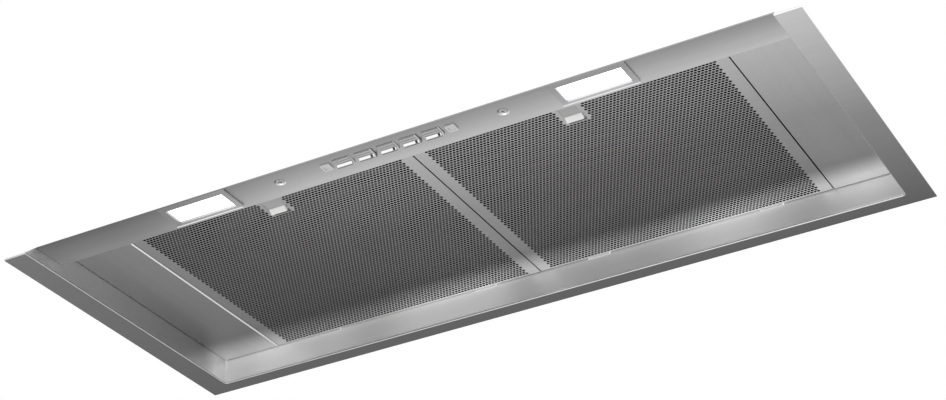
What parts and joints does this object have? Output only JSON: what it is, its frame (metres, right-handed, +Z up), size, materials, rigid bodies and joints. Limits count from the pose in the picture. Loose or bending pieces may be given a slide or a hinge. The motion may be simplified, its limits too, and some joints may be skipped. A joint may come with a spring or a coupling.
{
  "type": "built-in range hood",
  "caption": "Built-in range hood: stainless trim tray with push buttons, two lamps and perforated grease filters, under a low housing with a flat blower and a round outlet.",
  "frame": {"origin": "middle of the trim flange's underside, which is the lowest face", "axes": "+X to the user's right along the hood's width, +Y towards the wall, +Z up to the outlet"},
  "size_m": [0.702, 0.312, 0.124],
  "materials": {
    "stainless": "brushed stainless sheet",
    "housing_steel": "galvanised, satin",
    "filter_mesh": "expanded aluminium mesh",
    "filter_sheet": "satin",
    "grey_plastic": "fine moulded grain",
    "button_plastic": "ribbed moulded plastic",
    "bezel_plastic": "silver-grey, satin",
    "lens": "frosted, translucent",
    "white_plastic": "moulded",
    "latch_white": "moulded",
    "black_plastic": "moulded",
    "spring_steel": "drawn wire",
    "screw_steel": "zinc plated",
    "machined_steel": "ground",
    "laminations": "stacked laminations",
    "motor_paint": "satin",
    "bush_rubber": "soft",
    "loom_sleeve": "sleeved"
  },
  "bodies": {
    "root": {"button_springs": "spring_steel", "cable_gland": "black_plastic", "capacitor": "white_plastic", "control_strip": "stainless", "damper_pin": "machined_steel", "housing_screws": "screw_steel", "housing_shell": "housing_steel", "junction_box": "grey_plastic", "junction_lid": "grey_plastic", "left_end_plate": "housing_steel", "left_lamp_bezel": "bezel_plastic", "left_lamp_lens": "lens", "left_lamp_tray": "white_plastic", "left_led_board": "white_plastic", "left_side_panel": "stainless", "lower_scroll_half": "black_plastic", "motor_bearings": "screw_steel", "motor_bracket": "housing_steel", "motor_bushes": "bush_rubber", "motor_can": "motor_paint", "motor_screws": "screw_steel", "motor_stator": "laminations", "outlet_collar": "black_plastic", "right_end_plate": "housing_steel", "right_lamp_bezel": "bezel_plastic", "right_lamp_lens": "lens", "right_lamp_tray": "white_plastic", "right_led_board": "white_plastic", "right_side_panel": "stainless", "snap_supports": "spring_steel", "strip_screws": "screw_steel", "switch_block": "black_plastic", "switch_clips": "grey_plastic", "terminal_block": "white_plastic", "trim_frame": "stainless", "upper_scroll_half": "black_plastic", "wiring_loom": "loom_sleeve"},
    "left_filter": {"left_filter_face": "stainless", "left_filter_mesh": "filter_mesh", "left_filter_back": "filter_sheet", "left_latch_case": "grey_plastic", "left_latch_spring": "spring_steel"},
    "left_latch": {"left_latch_slider": "latch_white"},
    "right_filter": {"right_filter_face": "stainless", "right_filter_mesh": "filter_mesh", "right_filter_back": "filter_sheet", "right_latch_case": "grey_plastic", "right_latch_spring": "spring_steel"},
    "right_latch": {"right_latch_slider": "latch_white"},
    "button_off": {"button_off": "button_plastic"},
    "button_speed_1": {"button_speed_1": "button_plastic"},
    "button_speed_2": {"button_speed_2": "button_plastic"},
    "button_speed_3": {"button_speed_3": "button_plastic"},
    "button_light": {"button_light": "button_plastic"},
    "impeller": {"impeller": "white_plastic", "motor_shaft": "machined_steel", "motor_rotor": "laminations"},
    "front_flap": {"front_damper_flap": "grey_plastic"},
    "rear_flap": {"rear_damper_flap": "grey_plastic"}
  },
  "joints": [
    {"name": "left_filter_hinge", "type": "hinge", "parent": "root", "child": "left_filter", "pos_m": [0, 0.1398, 0.0244], "axis": [1, 0, 0], "range_deg": [0, 55]},
    {"name": "left_latch_slide", "type": "slide", "parent": "left_filter", "child": "left_latch", "axis": [0, 1, 0], "range_m": [0, 0.0052], "stiffness_N_per_m": 300, "springref_m": -0.005, "deforming": ["left_latch_spring"]},
    {"name": "right_filter_hinge", "type": "hinge", "parent": "root", "child": "right_filter", "pos_m": [0, 0.1398, 0.0244], "axis": [1, 0, 0], "range_deg": [0, 55]},
    {"name": "right_latch_slide", "type": "slide", "parent": "right_filter", "child": "right_latch", "axis": [0, 1, 0], "range_m": [0, 0.0052], "stiffness_N_per_m": 300, "springref_m": -0.005, "deforming": ["right_latch_spring"]},
    {"name": "button_off_press", "type": "slide", "parent": "root", "child": "button_off", "axis": [0, 0, 1], "range_m": [0, 0.002], "stiffness_N_per_m": 500, "springref_m": -0.003, "deforming": ["button_springs"]},
    {"name": "button_speed_1_press", "type": "slide", "parent": "root", "child": "button_speed_1", "axis": [0, 0, 1], "range_m": [0, 0.002], "stiffness_N_per_m": 500, "springref_m": -0.003, "deforming": ["button_springs"]},
    {"name": "button_speed_2_press", "type": "slide", "parent": "root", "child": "button_speed_2", "axis": [0, 0, 1], "range_m": [0, 0.002], "stiffness_N_per_m": 500, "springref_m": -0.003, "deforming": ["button_springs"]},
    {"name": "button_speed_3_press", "type": "slide", "parent": "root", "child": "button_speed_3", "axis": [0, 0, 1], "range_m": [0, 0.002], "stiffness_N_per_m": 500, "springref_m": -0.003, "deforming": ["button_springs"]},
    {"name": "button_light_press", "type": "slide", "parent": "root", "child": "button_light", "axis": [0, 0, 1], "range_m": [0, 0.002], "stiffness_N_per_m": 500, "springref_m": -0.003, "deforming": ["button_springs"]},
    {"name": "impeller_spin", "type": "hinge", "parent": "root", "child": "impeller", "pos_m": [-0.145, 0.062, 0.07], "axis": [0, 0, 1], "continuous": true},
    {"name": "rear_flap_swing", "type": "hinge", "parent": "root", "child": "rear_flap", "pos_m": [0, 0.078, 0.1085], "axis": [1, 0, 0], "range_deg": [0, 75]},
    {"name": "front_flap_swing", "type": "hinge", "parent": "root", "child": "front_flap", "pos_m": [0, 0.078, 0.1085], "axis": [-1, 0, 0], "range_deg": [0, 75]}
  ]
}
